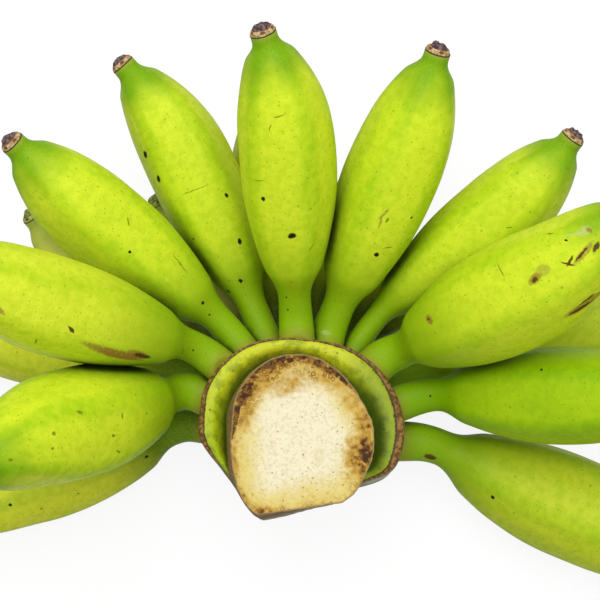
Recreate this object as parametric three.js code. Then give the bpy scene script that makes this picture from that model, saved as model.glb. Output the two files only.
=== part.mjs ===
// A hand of green cooking bananas, cut from its bunch with a length of the main stalk and laid on
// a flat surface. +Z is up: the stalk stands on its lower cut and shows its upper cut, and the
// bananas fan out towards +Y in two rows with their tips curling up. Millimetres and degrees.
import * as THREE from "three";

// ---- Driving dimensions

// Where the stalk stands, so that the whole hand is centred on the origin.
const STALK_X = 2.3;
const STALK_Y = -47.1;

// The cut stalk: its height, the radius of its upper cut at each hour of thirty degrees
// anticlockwise from +X, and how far below the cut it has leaned over, and which way.
const STALK_HEIGHT = 78;
const STALK_RADII = [27, 26, 28, 31, 31.5, 29.5, 27.5, 30.5, 34.4, 28, 29.5, 28];
const STALK_SET_BACK = 2;
const LEAN = 3.5;
const LEAN_TOWARDS = 150;

// The collar that the stalks of the bananas grow from, with the scar of the fallen bract as its
// rim: its radius at each hour, its height, and the azimuths between which it fades in and out.
const COLLAR_RADII = [40.2, 40.6, 39.6, 38.6, 42.2, 43.6, 41.2, 38.5, 38, 38, 38, 38.5];
const COLLAR_HEIGHT = 54.5;
const COLLAR_FROM = -48;
const COLLAR_FROM_FULL = -16;
const COLLAR_TO_FULL = 178;
const COLLAR_TO = 218;

// One banana: the shares of its length at which its own stalk ends, its belly is widest and its
// neck begins; the radius of its stalk and of its blunt tip; the dried flower on the tip; and how
// far its five soft ridges stand out, as a share of the radius.
const STEM_END = 0.12;
const BELLY = 0.57;
const NECK = 0.985;
const SHOULDER_POWER = 2.6;
const STEM_RADIUS = 5.6;
const TIP_RADIUS = 5;
const FLOWER_RADIUS = 3.4;
const FLOWER_LENGTH = 3.4;
const RIDGES = 5;
const RIDGE_HEIGHT = 0.03;
const JOIN_GAP = 0.35;

// Shares of the length over which a banana levels out of the crown, turns to its own heading, and
// hooks at its tip.
const RISE_SHARE = 0.14;
const TURN_SHARE = 0.35;
const HOOK_FROM = 0.6;

// The bananas of each row, from the left end round to the right. Each one gives, in this order:
// join, where its stalk leaves the crown, anticlockwise from +X; head, the way its body points;
// hook, how much further its tip turns; lift and curl, how steeply it rises from the crown and at
// its tip; height, of the middle of its stalk at the crown; length; girth, across its belly;
// ridge, where its first ridge stands, round from its right side. Some go on with their own stalk
// radius, their own share for turning, and how early they swell.
const UPPER_ROW = [
  [156.5, 206, 40, 38, 62, 41, 128, 42, 20, 7.2, 0.12, 0.07],
  [139.5, 172, -22, 41, 55, 49, 141.5, 37, 66, 6.4, 0.18, 0.04],
  [124.5, 142.5, -1.5, 15, 36.5, 42.5, 127, 37, 42, 6, 0.22],
  [110.5, 115, 20, 4.5, 25.5, 35.5, 131.5, 36.5, 60, 6],
  [93.5, 93.5, 18.5, 37, 42, 48, 130, 37.5, 64, 6.5],
  [76.5, 66, 5.5, 27, 38.5, 41, 130.5, 37.5, 30, 6.6, 0.12],
  [60, 36.5, 13.5, 11, 32, 36.5, 128, 35.5, 50, 4.8, 0.31, -0.03],
  [45, 20.5, 33, 43, 46.5, 45, 137, 42.5, 58, 7.2, 0.08, 0.07],
  [20, -5, 1, 16, 49, 39.5, 118, 38, 40, 6.6, 0.22],
];
const LOWER_ROW = [
  [170.5, 200.5, 24, -13, 33.5, 19, 121.5, 36, 45, 6.4, 0.11, 0.06],
  [149, 171, -10, -13.5, 34, 17.5, 130, 35, 60, STEM_RADIUS, 0.3],
  [131, 151.5, -20, -14.5, 34, 15, 112, 28.5, 30],
  [116, 125.5, 3.5, -13.5, 35.5, 11.5, 82.5, 22, 50],
  [102, 93.5, 5, -14.5, 36, 17, 108, 33.5, 66, STEM_RADIUS, 0.4],
  [84, 61.5, 16, -13.5, 36, 16.5, 121.5, 35, 20],
  [63, 38.5, 0.5, -14.5, 35, 17, 112, 31.5, 40, 7.6, 0.3, 0.1],
  [33, 12, -12, -13, 33, 18, 126.5, 35, 55, STEM_RADIUS, 0.25],
  [0, -24, -24, -22, 29, 29, 131.5, 43, 62, 7.4, 0.18],
];

// How finely the solids are drawn.
const BANANA_SIDES = 15;
const BANANA_RINGS = 21;
const SPINE_STEPS = 60;
const CROWN_SIDES = 48;

const UP = new THREE.Vector3(0, 0, 1);
const radians = THREE.MathUtils.degToRad;
const share = (value, from, to) => THREE.MathUtils.clamp((value - from) / (to - from), 0, 1);
const smooth = (value) => THREE.MathUtils.smoothstep(value, 0, 1);

// The radius at any azimuth of an outline that is given by its radius at each hour.
function radiusThrough(radii) {
  const hours = [-1, ...radii.keys(), 12, 13];
  const outline = new THREE.SplineCurve(
    hours.map((hour) => new THREE.Vector2(hour, radii.at(hour % 12))),
  );
  return (azimuth) => {
    const hour = (((azimuth % 360) + 360) % 360) / 30;
    return outline.getPoint((hour + 1) / 14).y;
  };
}

const cutRadius = radiusThrough(STALK_RADII);
const collarRadius = radiusThrough(COLLAR_RADII);

// ---- The bananas

// How far a banana has swelled from its stalk or tip, 0, to its full girth, 1.
function swelling(along) {
  if (along < BELLY) {
    const rise = share(along, STEM_END, BELLY);
    return Math.sin((rise * Math.PI) / 2) * smooth(rise / 0.3);
  }
  const fall = share(along, BELLY, NECK);
  return (1 - fall ** SHOULDER_POWER) * smooth((1 - fall) / 0.15);
}

// One row of the tables above, by name.
function namedSizes([join, head, hook, lift, curl, height, length, girth, ridge, ...own]) {
  const [stem = STEM_RADIUS, turn = TURN_SHARE, early = 0] = own;
  return { join, head, hook, lift, curl, height, length, girth, ridge, stem, turn, early };
}

// The outline of one banana from the cut end of its stalk to its dried flower, radius by length.
function bananaOutline({ length, girth, stem, early }) {
  const points = [new THREE.Vector2(0, 0)];
  for (let ring = 0; ring <= BANANA_RINGS; ring++) {
    const along = ring / BANANA_RINGS;
    const end = along < BELLY ? stem : TIP_RADIUS;
    const swelled = swelling(Math.min(1, along + early * Math.sin(along * Math.PI)));
    points.push(new THREE.Vector2(end + (girth / 2 - end) * swelled, along * length));
  }
  points.push(new THREE.Vector2(FLOWER_RADIUS, length + FLOWER_LENGTH));
  points.push(new THREE.Vector2(0, length + FLOWER_LENGTH));
  return points;
}

// How far out a stalk's flat end stands, to meet the collar's wall across its whole width.
function joinDistance(join, stem) {
  const half = Math.asin(stem / collarRadius(join));
  const reaches = [-half, 0, half].map(
    (turn) => collarRadius(join + THREE.MathUtils.radToDeg(turn)) * Math.cos(turn),
  );
  return Math.max(...reaches) + JOIN_GAP;
}

// The line through the middle of one banana: level and straight out of the crown, then bending to
// its heading while it rises, and steeper and steeper towards the tip.
function bananaSpine({ join, head, hook, length, lift, curl, height, stem, turn }) {
  const point = new THREE.Vector3(joinDistance(join, stem), 0, height);
  point.applyAxisAngle(UP, radians(join));
  const points = [point.clone()];
  for (let step = 0; step < SPINE_STEPS; step++) {
    const along = (step + 0.5) / SPINE_STEPS;
    const turned = (head - join) * smooth(along / turn) + hook * share(along, HOOK_FROM, 1);
    const steepness = radians(lift * smooth(along / RISE_SHARE) + (curl - lift) * along);
    const heading = radians(join + turned);
    const stride = length / SPINE_STEPS;
    point.x += stride * Math.cos(steepness) * Math.cos(heading);
    point.y += stride * Math.cos(steepness) * Math.sin(heading);
    point.z += stride * Math.sin(steepness);
    points.push(point.clone());
  }
  return new THREE.CatmullRomCurve3(points, false, "catmullrom");
}

// One banana: its outline turned about an axis, pinched into five soft ridges over the body, and
// laid along its spine.
function bananaGeometry(banana) {
  const { length, girth, ridge } = banana;
  const firstSide = radians(90 - ridge);
  const geometry = new THREE.LatheGeometry(bananaOutline(banana), BANANA_SIDES, firstSide);
  const spine = bananaSpine(banana);
  const position = geometry.getAttribute("position");
  for (let i = 0; i < position.count; i++) {
    const turned = new THREE.Vector3().fromBufferAttribute(position, i);
    const along = turned.y / length;
    const angle = Math.atan2(turned.z, turned.x);
    const body = share(Math.hypot(turned.x, turned.z), STEM_RADIUS, girth / 3);
    const ridged = 1 + RIDGE_HEIGHT * body * Math.cos(RIDGES * (angle - radians(ridge)));
    const onSpine = Math.min(along, 1);
    const tangent = spine.getTangent(onSpine);
    const right = new THREE.Vector3().crossVectors(tangent, UP).normalize();
    const back = new THREE.Vector3().crossVectors(right, tangent);
    const placed = spine
      .getPoint(onSpine)
      .addScaledVector(tangent, (along - onSpine) * length)
      .addScaledVector(right, turned.x * ridged)
      .addScaledVector(back, turned.z * ridged);
    position.setXYZ(i, placed.x, placed.y, placed.z);
  }
  return geometry;
}

function bananaMesh(name, sizes, colour) {
  const geometry = bananaGeometry(namedSizes(sizes));
  const material = new THREE.MeshStandardMaterial({ color: colour, roughness: 0.5, metalness: 0 });
  const mesh = new THREE.Mesh(geometry, material);
  mesh.name = name;
  return mesh;
}

// ---- The crown: stalk and collar, grown as one piece

// The stalk leans: from its cut down to the collar it moves over towards one side.
function stalkRadius(azimuth, height) {
  const leaned = LEAN * (1 - share(height, COLLAR_HEIGHT, STALK_HEIGHT));
  return cutRadius(azimuth) + leaned * Math.cos(radians(azimuth - LEAN_TOWARDS));
}

// How much of the collar there is at an azimuth: none behind the stalk, all of it at the bananas.
function collarShare(azimuth) {
  const from = share(azimuth, COLLAR_FROM, COLLAR_FROM_FULL);
  const to = share(azimuth, COLLAR_TO, COLLAR_TO_FULL);
  return smooth(from) * smooth(to);
}

// The crown's outline from its lower cut to its upper cut: how far out from the stalk to the rim
// of the collar, the height there, and the height of the same ring behind, where there is only stalk.
const CROWN_RINGS = [
  { out: 0.3, height: 0, behind: 0 },
  { out: 0.8, height: 5, behind: 5 },
  { out: 1, height: 13, behind: 13 },
  { out: 1, height: COLLAR_HEIGHT - 7, behind: 38 },
  { out: 1, height: COLLAR_HEIGHT - 0.8, behind: 46 },
  { out: 0.9, height: COLLAR_HEIGHT + 1.6, behind: 48 },
  { out: 0.7, height: COLLAR_HEIGHT + 2.6, behind: 50 },
  { out: 0.4, height: COLLAR_HEIGHT + 1.2, behind: 53 },
  { out: 0.08, height: COLLAR_HEIGHT - 4.5, behind: 56 },
  { out: 0, height: 56, behind: 60 },
  { out: 0, height: STALK_HEIGHT, behind: STALK_HEIGHT },
];

function crownGeometry() {
  // The ring's number stands in for its height until the vertices are placed.
  const outline = [new THREE.Vector2(0, 0)];
  CROWN_RINGS.forEach((ring, number) => outline.push(new THREE.Vector2(1, number)));
  outline.push(new THREE.Vector2(0, CROWN_RINGS.length - 1));
  const geometry = new THREE.LatheGeometry(outline, CROWN_SIDES).rotateX(Math.PI / 2);
  const position = geometry.getAttribute("position");
  for (let i = 0; i < position.count; i++) {
    const ring = CROWN_RINGS[Math.round(position.getZ(i))];
    const x = position.getX(i);
    const y = position.getY(i);
    let azimuth = THREE.MathUtils.radToDeg(Math.atan2(y, x));
    if (azimuth < -90) azimuth += 360;
    const collar = collarShare(azimuth);
    const height = THREE.MathUtils.lerp(ring.behind, ring.height, collar);
    const stalk = stalkRadius(azimuth, height);
    const out = ring.out * collar;
    const centreY = -STALK_SET_BACK * (1 - out);
    const radius = THREE.MathUtils.lerp(stalk, collarRadius(azimuth), out);
    if (Math.hypot(x, y) < 0.5) position.setXYZ(i, 0, -STALK_SET_BACK, height);
    else position.setXYZ(i, x * radius, y * radius + centreY, height);
  }
  return geometry;
}

// ---- The hand

const hand = new THREE.Group();
hand.position.set(STALK_X, STALK_Y, 0);

const crown = new THREE.Mesh(
  crownGeometry(),
  new THREE.MeshStandardMaterial({ color: 0xe2d6a0, roughness: 0.8, metalness: 0 }),
);
crown.name = "stalk_crown";
hand.add(crown);

UPPER_ROW.forEach((sizes, i) => hand.add(bananaMesh(`upper_banana_${i + 1}`, sizes, 0xb8d52a)));

// The lower row carries the fruit: each of its bananas lies with its belly on the surface.
LOWER_ROW.forEach((sizes, i) => {
  const mesh = bananaMesh(`lower_banana_${i + 1}`, sizes, 0xa9bf2c);
  mesh.geometry.computeBoundingBox();
  mesh.position.z = -mesh.geometry.boundingBox.min.z;
  hand.add(mesh);
});

export default hand;
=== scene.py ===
# A hand of green cooking bananas, cut from its bunch with a length of the main stalk and laid on a
# pale table. The stalk stands on its lower cut with its upper cut in view, and the bananas fan out
# from its collar in two rows, their tips curling up. Every piece keeps its place from the frame.
import math

import bpy
import numpy as np
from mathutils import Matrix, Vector, noise


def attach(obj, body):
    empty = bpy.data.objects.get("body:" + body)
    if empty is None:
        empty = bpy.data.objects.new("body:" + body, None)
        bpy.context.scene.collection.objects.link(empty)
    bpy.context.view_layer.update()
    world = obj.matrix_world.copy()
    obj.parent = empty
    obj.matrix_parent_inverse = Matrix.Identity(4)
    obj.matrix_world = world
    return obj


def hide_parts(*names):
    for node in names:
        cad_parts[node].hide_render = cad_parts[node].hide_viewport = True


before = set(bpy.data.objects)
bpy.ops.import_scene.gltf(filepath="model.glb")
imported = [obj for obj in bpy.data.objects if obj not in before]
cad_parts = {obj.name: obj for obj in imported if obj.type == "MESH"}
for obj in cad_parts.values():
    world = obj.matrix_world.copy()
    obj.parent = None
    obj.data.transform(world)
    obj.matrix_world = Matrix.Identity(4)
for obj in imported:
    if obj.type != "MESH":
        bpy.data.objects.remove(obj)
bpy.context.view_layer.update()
MM = 0.001

# ---------------------------------------------------------------------------------------------
# The crown: a cut length of the bunch's main stalk, and round it the fleshy collar that all the
# bananas grew from. One piece of wet, fibrous tissue under a green skin, sawn through above and
# below, with a corky scar along the collar's rim where the purple bract fell off.

STALK_X = 2.3
STALK_Y = -47.1
STALK_HEIGHT = 78
# The radii of the upper cut and of the collar's rim, at each thirty degrees anticlockwise from +X,
# and how far below the cut the stalk has leaned over, and which way.
STALK_RADII = [27, 26, 28, 31, 31.5, 29.5, 27.5, 30.5, 34.4, 28, 29.5, 28]
COLLAR_RADII = [40.2, 40.6, 39.6, 38.6, 42.2, 43.6, 41.2, 38.5, 38, 38, 38, 38.5]
STALK_SET_BACK = 2
LEAN = 3.5
LEAN_TOWARDS = 150
COLLAR_HEIGHT = 54.5
COLLAR_FROM = -48
COLLAR_FROM_FULL = -16
COLLAR_TO_FULL = 178
COLLAR_TO = 218
# From the lower cut's edge to the upper cut's edge: how far out to the collar's rim, the height
# there, and the height of the same ring behind, where there is only stalk.
CROWN_OUTLINE = [
    (0.30, 0, 0),
    (0.62, 1.6, 1.6),
    (0.86, 6, 6),
    (1.00, 14, 13),
    (1.00, 31, 26),
    (1.00, 46, 38),
    (1.00, 52, 44),
    (1.00, 53.9, 46),
    (0.97, 55.1, 47),
    (0.90, 56.1, 48),
    (0.80, 57.0, 49),
    (0.66, 57.2, 50),
    (0.50, 56.8, 51.5),
    (0.35, 55.4, 53),
    (0.20, 52.8, 54.5),
    (0.07, 49.8, 55.5),
    (0.00, 48.6, 56.5),
    (0.00, 51.0, 59),
    (0.00, 62.0, 64),
    (0.00, 78.0, 78),
]
# The stalk's flat side, which grew against its neighbour: its distance from the stalk's middle and
# the way it faces.
FLAT_SIDE = 27.4
FLAT_FACES = 277.7
CROWN_COLUMNS = 336
RINGS_A_STEP = 7
CUT_RINGS = 34


def share(value, start, end):
    return np.clip((value - start) / (end - start), 0, 1)


def smooth(value):
    value = np.clip(value, 0, 1)
    return value * value * (3 - 2 * value)


def lumps(points, size, seed):
    """Smooth noise from about -1 to 1, with lumps of that size, at each point."""
    away = Vector((seed * 7.3, seed * 3.1, seed * 5.7))
    return np.array([noise.noise(Vector(point) / size + away) for point in points])


def through(values, at):
    """The smooth curve through evenly spaced values, at places counted in steps."""
    values = np.asarray(values, float)
    step = np.clip(np.floor(at).astype(int), 0, len(values) - 2)
    t = at - step
    before = values[np.maximum(step - 1, 0)]
    start = values[step]
    end = values[step + 1]
    after = values[np.minimum(step + 2, len(values) - 1)]
    bend = 2 * before - 5 * start + 4 * end - after
    return start + 0.5 * t * (end - before + t * (bend + t * (3 * (start - end) + after - before)))


def radius_at(radii, azimuth):
    """An outline's radius at an azimuth in degrees, from its radius at each hour."""
    return through(radii[-2:] + radii + radii[:3], azimuth % 360 / 30 + 2)


def stalk_radius(azimuth, height):
    """The stalk's radius at an azimuth in degrees and a height in millimetres."""
    leaned = LEAN * (1 - share(height, COLLAR_HEIGHT, STALK_HEIGHT))
    from_flat = np.radians(np.clip((azimuth - FLAT_FACES + 180) % 360 - 180, -60, 60))
    cut_off = np.minimum(radius_at(STALK_RADII, azimuth), FLAT_SIDE / np.cos(from_flat))
    return cut_off + leaned * np.cos(np.radians(azimuth - LEAN_TOWARDS))


def ring_mesh(name, rings, first, last):
    """A closed mesh from rings of points, with one point that closes it at each end."""
    count, around = rings.shape[:2]
    points = np.vstack([rings.reshape(-1, 3), first, last])
    faces = []
    for ring in range(count - 1):
        for side in range(around):
            beside = (side + 1) % around
            low, high = ring * around, (ring + 1) * around
            faces.append((low + side, low + beside, high + beside, high + side))
    start, end = count * around, count * around + 1
    for side in range(around):
        beside = (side + 1) % around
        faces.append((start, beside, side))
        top = (count - 1) * around
        faces.append((end, top + side, top + beside))
    mesh = bpy.data.meshes.new(name)
    mesh.from_pydata((points * MM).tolist(), [], faces)
    mesh.shade_smooth()
    piece = bpy.data.objects.new(name, mesh)
    bpy.context.scene.collection.objects.link(piece)
    return piece


def tell(piece, name, values):
    """Stores one number or one vector for each point of a piece, for its material to read."""
    values = np.asarray(values, np.float32)
    kind, field = ("FLOAT", "value") if values.ndim == 1 else ("FLOAT_VECTOR", "vector")
    stored = piece.data.attributes.new(name, kind, "POINT")
    stored.data.foreach_set(field, values.ravel())


def grow_crown():
    azimuth = np.linspace(-90, 270, CROWN_COLUMNS, endpoint=False)
    steps = np.arange((len(CROWN_OUTLINE) - 1) * RINGS_A_STEP + 1) / RINGS_A_STEP
    out, front, behind = [through(column, steps)[:, None] for column in zip(*CROWN_OUTLINE)]
    collar = smooth(share(azimuth, COLLAR_FROM, COLLAR_FROM_FULL))
    collar = collar * smooth(share(azimuth, COLLAR_TO, COLLAR_TO_FULL))
    height = behind + (front - behind) * collar
    out = np.clip(out, 0, 1) * collar
    radius = stalk_radius(azimuth, height)
    radius = radius + (radius_at(COLLAR_RADII, azimuth) - radius) * out
    centre = -STALK_SET_BACK * (1 - out)
    # The corky scar: a torn ridge round the collar's rim, wider at its ends, where it dies out.
    turn = np.radians(azimuth)
    wider = share(-np.sin(turn), -0.9, 0.1)
    rim_step = np.exp(-(((steps[:, None] - 8.1 - 0.4 * wider) / (0.75 + 0.5 * wider)) ** 2))
    round_the_rim = np.stack([np.cos(turn) * 40, np.sin(turn) * 40, turn * 0], -1)
    tear = 0.8 + 0.35 * lumps(round_the_rim, 3.4, 1) + 0.2 * lumps(round_the_rim, 1.3, 2)
    ridge = rim_step * tear * collar
    radius = radius + 0.35 * ridge
    height = height + 0.85 * ridge
    flat = np.stack([np.cos(turn) * radius, np.sin(turn) * radius + centre, height], -1)
    # The skin: shallow lumps all over, and fibres that run up the stalk.
    points = flat.reshape(-1, 3)
    fibres = lumps(points * (1, 1, 0.08), 2.2, 3).reshape(radius.shape)
    swells = lumps(points, 9, 4).reshape(radius.shape)
    radius = radius + 0.16 * fibres * (1 - 0.7 * out) + 0.35 * swells
    edge = share(steps[:, None], len(CROWN_OUTLINE) - 1.6, len(CROWN_OUTLINE) - 1)
    chips = lumps(np.stack([np.cos(turn) * 30, np.sin(turn) * 30, turn * 0], -1), 2.6, 5)
    radius = radius + 0.2 * chips * edge
    wall = np.stack([np.cos(turn) * radius, np.sin(turn) * radius + centre, height], -1)

    def cut(rim, downwards):
        """The rings of a cut face, from its rim in to its middle. The drying pulp sinks a little."""
        middle = np.array([0, -STALK_SET_BACK, rim[:, 2].mean()])
        inward = (1 - (np.arange(1, CUT_RINGS + 1) / (CUT_RINGS + 1)) ** 1.15)[:, None, None]
        rings = middle + (rim - middle) * inward
        flat = rings.reshape(-1, 3)
        depth = np.linalg.norm(rings - rim, axis=2)
        sunk = 0.55 * smooth(depth / 2.5) + 0.22 * lumps(flat, 2.1, 6).reshape(depth.shape)
        sunk = np.maximum(0, sunk + 0.3 * lumps(flat, 11, 7).reshape(depth.shape))
        rings[..., 2] += sunk if downwards else -sunk
        return rings, depth

    upper, upper_depth = cut(wall[-1], False)
    lower, lower_depth = cut(wall[0], True)
    rings = np.concatenate([lower[::-1], wall, upper])
    move = np.array([STALK_X, STALK_Y, 0])
    middles = [lower[-1].mean(0), upper[-1].mean(0)]
    piece = ring_mesh("crown", rings + move, *[middle + move for middle in middles])
    # How deep inside the rim of a cut each point is, and how far along the outline it is.
    nowhere = np.zeros(wall.shape[:2])
    depth = np.concatenate([lower_depth[::-1], nowhere, upper_depth])
    deepest = [lower_depth[-1].mean(), upper_depth[-1].mean()]
    tell(piece, "from_rim", np.append(depth.ravel(), deepest))
    below, above = lower_depth[::-1] * 0, upper_depth * 0 + steps[-1]
    step = np.concatenate([below, nowhere + steps[:, None], above])
    tell(piece, "outline_step", np.append(step.ravel(), [0, steps[-1]]))
    kept = np.broadcast_to(collar, rings.shape[:2])
    tell(piece, "collar", np.append(kept.ravel(), [0, 0]))
    # Faces between rings of a cut are pulp, and the others are skin.
    face_ring = np.repeat(np.arange(len(rings) - 1), CROWN_COLUMNS)
    skin = (face_ring >= CUT_RINGS) & (face_ring < CUT_RINGS + len(wall) - 1)
    slots = np.append(np.where(skin, 0, 1), np.ones(2 * CROWN_COLUMNS, int))
    piece.data.polygons.foreach_set("material_index", slots)
    return piece


crown = grow_crown()


def paint(colour):
    """An sRGB hex colour as the linear colour that a shader takes."""
    parts = [int(colour[i : i + 2], 16) / 255 for i in (1, 3, 5)]
    return [p / 12.92 if p <= 0.04045 else ((p + 0.055) / 1.055) ** 2.4 for p in parts] + [1]


def add(tree, kind, inputs=(), out=0, **settings):
    """Adds one node with its settings, and gives back one of its outputs. Its inputs, in their order
    or by name, each take a value or another node's output."""
    node = tree.nodes.new("ShaderNode" + kind)
    for name, value in settings.items():
        setattr(node, name, value)
    taken = [socket for socket in node.inputs if socket.enabled]
    given = [socket for socket in node.outputs if socket.enabled]
    named = inputs if isinstance(inputs, dict) else dict(enumerate(inputs))
    for name, value in named.items():
        socket = node.inputs[name] if isinstance(name, str) else taken[name]
        if isinstance(value, bpy.types.NodeSocket):
            tree.links.new(value, socket)
        else:
            socket.default_value = value
    if isinstance(out, str):
        return node.outputs[out]
    return given[out] if given else None


def new_material(name):
    material = bpy.data.materials.new(name)
    material.use_nodes = True
    material.node_tree.nodes.clear()
    return material, material.node_tree


def local_place(tree):
    """The place on the crown in millimetres from the foot of the stalk's middle."""
    metres = add(tree, "TexCoord", out="Object")
    place = add(tree, "VectorMath", [metres, [1000] * 3], operation="MULTIPLY")
    return add(tree, "VectorMath", [place, (STALK_X, STALK_Y, 0)], operation="SUBTRACT")


def crown_skin():
    """Waxy living skin over fleshy tissue: satin and yellow-green on the collar, painted deep green
    as shade down in the crease and low between the stalks. The old stalk's skin has dried dull and
    tan, and the bract's scar is torn cork."""
    material, tree = new_material("waxy_stalk_skin")
    place = local_place(tree)
    y = add(tree, "SeparateXYZ", [place], out="Y")
    x = add(tree, "SeparateXYZ", [place], out="X")
    z = add(tree, "SeparateXYZ", [place], out="Z")
    step = add(tree, "Attribute", out="Fac", attribute_name="outline_step")
    collar = add(tree, "Attribute", out="Fac", attribute_name="collar")
    cloud = add(tree, "TexNoise", [place, 1 / 9, 3])
    fine = add(tree, "TexNoise", [place, 1 / 1.4, 3])
    # Yellower where it faces the bananas than at its two ends, and along its crest.
    facing = add(tree, "MapRange", [y, -14, 36], interpolation_type="SMOOTHSTEP")
    colour = add(tree, "Mix", [facing, paint("#ABC418"), paint("#CBD328")], data_type="RGBA")
    crest = add(tree, "Math", [step, 10.6], operation="SUBTRACT")
    crest = add(tree, "Math", [crest], operation="ABSOLUTE")
    crest = add(tree, "MapRange", [crest, 2.2, 0.3, 0, 0.7], interpolation_type="SMOOTHSTEP")
    crest = add(tree, "Math", [crest, cloud], operation="MULTIPLY")
    crest = add(tree, "MapRange", [crest, 0.1, 0.6, 0, 0.8], interpolation_type="SMOOTHSTEP")
    yellow = add(tree, "Mix", [facing, paint("#98A319"), paint("#C2C029")], data_type="RGBA")
    colour = add(tree, "Mix", [crest, colour, yellow], data_type="RGBA")
    # Painted shade: the side towards +X is painted a duller green.
    painted_shade = add(tree, "MapRange", [x, 10, 32], interpolation_type="SMOOTHSTEP")
    shade = add(tree, "Math", [painted_shade, 0.75], operation="MULTIPLY")
    colour = add(tree, "Mix", [shade, colour, paint("#81960E")], data_type="RGBA")
    blotch = add(tree, "TexNoise", [place, 1 / 4, 3])
    mottle = add(tree, "Math", [fine, 0.35, blotch], operation="MULTIPLY_ADD")
    mottle = add(tree, "MapRange", [mottle, 0.6, 0.85, 0, 0.55], interpolation_type="SMOOTHSTEP")
    colour = add(tree, "Mix", [mottle, colour, paint("#6D860E")], data_type="RGBA")
    # Dark pits about a millimetre across.
    pits = add(tree, "TexVoronoi", [place, 1 / 4.2])
    pits = add(tree, "MapRange", [pits, 0.15, 0.07, 0, 0.8], interpolation_type="SMOOTHSTEP")
    colour = add(tree, "Mix", [pits, colour, paint("#445C09")], data_type="RGBA")
    # Painted shade: deep green down in the crease between the collar and the stalk.
    deep = add(tree, "Math", [blotch, 1.2, step], operation="MULTIPLY_ADD")
    deep = add(tree, "Math", [painted_shade, 2.3, deep], operation="MULTIPLY_ADD")
    crease = add(tree, "MapRange", [deep, 13.4, 15.6, 0, 0.9], interpolation_type="SMOOTHSTEP")
    painted_crease_shade = add(tree, "Mix", [painted_shade, paint("#658617"), paint("#2C400B")], data_type="RGBA")
    colour = add(tree, "Mix", [crease, colour, painted_crease_shade], data_type="RGBA")
    # Painted shade: darkest of all low down, where the bananas' stalks crowd together.
    under = add(tree, "MapRange", [z, 46, 36, 0, 0.85], interpolation_type="SMOOTHSTEP")
    colour = add(tree, "Mix", [under, colour, paint("#243606")], data_type="RGBA")
    # The stalk's own skin: dull green low down, dried to tan near the cut.
    dried = add(tree, "Math", [cloud, 2.2, step], operation="MULTIPLY_ADD")
    dried = add(tree, "MapRange", [dried, 17.0, 18.6], interpolation_type="SMOOTHSTEP")
    stalk = add(tree, "Mix", [dried, paint("#6A5830"), paint("#9A7A4C")], data_type="RGBA")
    foot = add(tree, "MapRange", [step, 5, 2], interpolation_type="SMOOTHSTEP")
    stalk = add(tree, "Mix", [foot, stalk, paint("#BBAF8D")], data_type="RGBA")
    grime = add(tree, "MapRange", [fine, 0.38, 0.62, 0.8, 0], interpolation_type="SMOOTHSTEP")
    stalk = add(tree, "Mix", [grime, stalk, paint("#6C4F2A")], data_type="RGBA")
    on_stalk = add(tree, "MapRange", [step, 15.2, 16.2], interpolation_type="SMOOTHSTEP")
    bare = add(tree, "MapRange", [collar, 0.55, 0.1], interpolation_type="SMOOTHSTEP")
    on_stalk = add(tree, "Math", [on_stalk, bare], operation="MAXIMUM")
    colour = add(tree, "Mix", [on_stalk, colour, stalk], data_type="RGBA")
    # The cork of the bract's scar, wider at its two ends, with a dark line on each side of it.
    width = add(tree, "MapRange", [y, 38, -6, 0.8, 1.5], interpolation_type="SMOOTHSTEP")
    middle = add(tree, "Math", [width, 0.7, 7.8], operation="MULTIPLY_ADD")
    wobble = add(tree, "Math", [fine, 0.7, step], operation="MULTIPLY_ADD")
    wobble = add(tree, "Math", [wobble, 0.35], operation="SUBTRACT")
    from_scar = add(tree, "Math", [wobble, middle], operation="SUBTRACT")
    from_scar = add(tree, "Math", [from_scar], operation="ABSOLUTE")
    inside = add(tree, "Math", [width, from_scar], operation="SUBTRACT")
    there = add(tree, "MapRange", [collar, 0.03, 0.25], interpolation_type="SMOOTHSTEP")
    scar = add(tree, "MapRange", [inside, -0.1, 0.15], interpolation_type="SMOOTHSTEP")
    scar = add(tree, "Math", [scar, there], operation="MULTIPLY")
    flakes = add(tree, "MapRange", [fine, 0.42, 0.62], interpolation_type="SMOOTHSTEP")
    cork = add(tree, "Mix", [flakes, paint("#5E4219"), paint("#96713C")], data_type="RGBA")
    colour = add(tree, "Mix", [scar, colour, cork], data_type="RGBA")
    edge = add(tree, "Math", [inside, 0.12], operation="SUBTRACT")
    edge = add(tree, "Math", [edge], operation="ABSOLUTE")
    edge = add(tree, "MapRange", [edge, 0.30, 0.08, 0, 0.85], interpolation_type="SMOOTHSTEP")
    edge = add(tree, "Math", [edge, there], operation="MULTIPLY")
    colour = add(tree, "Mix", [edge, colour, paint("#3A290C")], data_type="RGBA")
    rough = add(tree, "MapRange", [on_stalk, 0, 1, 0.45, 0.75])
    height = add(tree, "Math", [fine, 2], operation="MULTIPLY")
    height = add(tree, "Math", [scar, height, fine], operation="MULTIPLY_ADD")
    height = add(tree, "Math", [pits, -0.6, height], operation="MULTIPLY_ADD")
    bump = add(tree, "Bump", {"Height": height, "Strength": 0.35, "Distance": 0.0004})
    skin = {"Base Color": colour, "Roughness": rough, "Normal": bump, "IOR": 1.45}
    shader = add(tree, "BsdfPrincipled", {**skin, "Specular IOR Level": 0.25})
    add(tree, "OutputMaterial", [shader])
    return material


crown.data.materials.append(crown_skin())

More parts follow.
